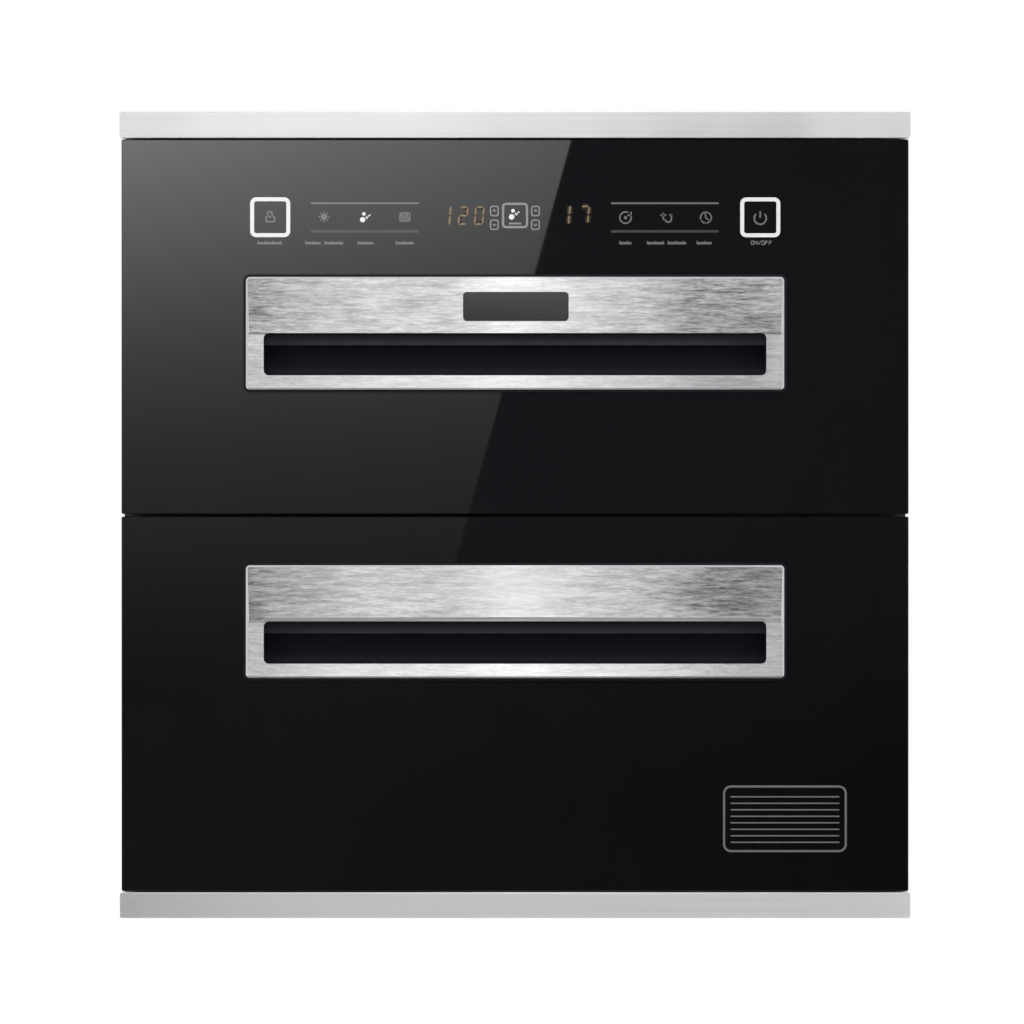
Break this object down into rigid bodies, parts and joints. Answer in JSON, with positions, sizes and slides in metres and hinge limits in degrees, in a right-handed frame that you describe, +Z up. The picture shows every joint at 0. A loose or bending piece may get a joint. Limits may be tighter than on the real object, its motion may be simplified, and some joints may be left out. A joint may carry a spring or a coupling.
{
  "type": "dish sterilizer cabinet",
  "caption": "Built-in dish sterilizer cabinet: black glass drawers between steel trims, recessed handles, an ozone-drying chamber above an infrared one, racks on telescopic slides.",
  "frame": {"origin": "on the plane where the front frame meets the niche, on the centre line, at the soles of the feet", "axes": "+X to the user's right, +Y into the niche, +Z up"},
  "size_m": [0.6, 0.4514, 0.613],
  "materials": {
    "galvanised_case": "galvanised sheet, light spangle",
    "rubber_feet": "moulded rubber",
    "black_frame": "black powder coat",
    "stainless_trim": "long horizontal brushing",
    "stainless_liner": "fine satin",
    "mineral_wool": "felted wool",
    "door_foam": "rigid foam",
    "tray_plastic": "fine spark texture",
    "circuit_board": "solder mask",
    "display_face": "smoked",
    "quartz": "frosted quartz",
    "socket_ceramic": "unglazed",
    "polished_steel": "polished",
    "rack_wire": "electropolished wire",
    "lamp_glass": "clear tube",
    "heater_fins": "rolled fins",
    "fan_plastic": "moulded",
    "motor_metal": "plain",
    "generator_case": "moulded",
    "gland_plastic": "moulded nylon",
    "cutout_body": "bakelite",
    "sensor_body": "moulded",
    "black_glass": "black-backed tempered glass",
    "door_steel": "black powder coat",
    "cup_plastic": "satin black moulding",
    "brushed_plate": "horizontal brushing, polished bevel",
    "seal_silicone": "silicone",
    "magnet": "plated",
    "slide_zinc": "bright zinc",
    "ball_cage": "pressed strip"
  },
  "bodies": {
    "cabinet": {"air_grille": "stainless_liner", "air_heater": "heater_fins", "back_panel": "galvanised_case", "base_pan": "galvanised_case", "board_tray": "tray_plastic", "bottom_trim": "stainless_trim", "case_wrap": "galvanised_case", "door_sensors": "sensor_body", "face_frame": "black_frame", "fan_housing": "fan_plastic", "fan_motor": "motor_metal", "feet": "rubber_feet", "heater_guard": "rack_wire", "heater_reflector": "polished_steel", "heater_sockets": "socket_ceramic", "heater_tubes": "quartz", "lamp_guard": "rack_wire", "lamp_sockets": "socket_ceramic", "lower_insulation": "mineral_wool", "lower_liner": "stainless_liner", "lower_slide_outers": "slide_zinc", "mains_gland": "gland_plastic", "ozone_generator": "generator_case", "ozone_lamp": "lamp_glass", "power_board": "circuit_board", "thermal_cutouts": "cutout_body", "top_trim": "stainless_trim", "upper_liner": "stainless_liner", "upper_slide_outers": "slide_zinc"},
    "fan": {"fan_rotor": "fan_plastic"},
    "upper_drawer": {"upper_glass": "black_glass", "upper_door_pan": "door_steel", "upper_door_core": "door_foam", "upper_handle_cup": "cup_plastic", "upper_handle_plate": "brushed_plate", "upper_door_seal": "seal_silicone", "upper_door_magnet": "magnet", "upper_side_rails": "stainless_liner", "upper_rack": "rack_wire", "upper_slide_inners": "slide_zinc", "control_tray": "tray_plastic", "control_board": "circuit_board", "display_module": "display_face"},
    "upper_middle_members": {"upper_slide_middles": "slide_zinc"},
    "upper_outer_cages": {"upper_outer_ball_cages": "ball_cage"},
    "upper_inner_cages": {"upper_inner_ball_cages": "ball_cage"},
    "lower_drawer": {"lower_glass": "black_glass", "lower_door_pan": "door_steel", "lower_door_core": "door_foam", "lower_handle_cup": "cup_plastic", "lower_handle_plate": "brushed_plate", "lower_door_seal": "seal_silicone", "lower_door_magnet": "magnet", "lower_side_rails": "stainless_liner", "lower_rack": "rack_wire", "lower_slide_inners": "slide_zinc"},
    "lower_middle_members": {"lower_slide_middles": "slide_zinc"},
    "lower_outer_cages": {"lower_outer_ball_cages": "ball_cage"},
    "lower_inner_cages": {"lower_inner_ball_cages": "ball_cage"}
  },
  "joints": [
    {"name": "upper_drawer_slide", "type": "slide", "parent": "cabinet", "child": "upper_drawer", "axis": [0, -1, 0], "range_m": [0, 0.32]},
    {"name": "upper_middle_members_slide", "type": "slide", "parent": "cabinet", "child": "upper_middle_members", "axis": [0, -1, 0], "range_m": [0, 0.16]},
    {"name": "upper_outer_cages_slide", "type": "slide", "parent": "cabinet", "child": "upper_outer_cages", "axis": [0, -1, 0], "range_m": [0, 0.08]},
    {"name": "upper_inner_cages_slide", "type": "slide", "parent": "cabinet", "child": "upper_inner_cages", "axis": [0, -1, 0], "range_m": [0, 0.24]},
    {"name": "lower_drawer_slide", "type": "slide", "parent": "cabinet", "child": "lower_drawer", "axis": [0, -1, 0], "range_m": [0, 0.32]},
    {"name": "lower_middle_members_slide", "type": "slide", "parent": "cabinet", "child": "lower_middle_members", "axis": [0, -1, 0], "range_m": [0, 0.16]},
    {"name": "lower_outer_cages_slide", "type": "slide", "parent": "cabinet", "child": "lower_outer_cages", "axis": [0, -1, 0], "range_m": [0, 0.08]},
    {"name": "lower_inner_cages_slide", "type": "slide", "parent": "cabinet", "child": "lower_inner_cages", "axis": [0, -1, 0], "range_m": [0, 0.24]},
    {"name": "fan_spin", "type": "hinge", "parent": "cabinet", "child": "fan", "pos_m": [0, 0.3811, 0.45], "axis": [0, 1, 0], "continuous": true}
  ],
  "couplings": [
    {"joint": "upper_middle_members_slide", "follows": "upper_drawer_slide", "ratio": 0.5},
    {"joint": "upper_outer_cages_slide", "follows": "upper_drawer_slide", "ratio": 0.25},
    {"joint": "upper_inner_cages_slide", "follows": "upper_drawer_slide", "ratio": 0.75},
    {"joint": "lower_middle_members_slide", "follows": "lower_drawer_slide", "ratio": 0.5},
    {"joint": "lower_outer_cages_slide", "follows": "lower_drawer_slide", "ratio": 0.25},
    {"joint": "lower_inner_cages_slide", "follows": "lower_drawer_slide", "ratio": 0.75}
  ]
}
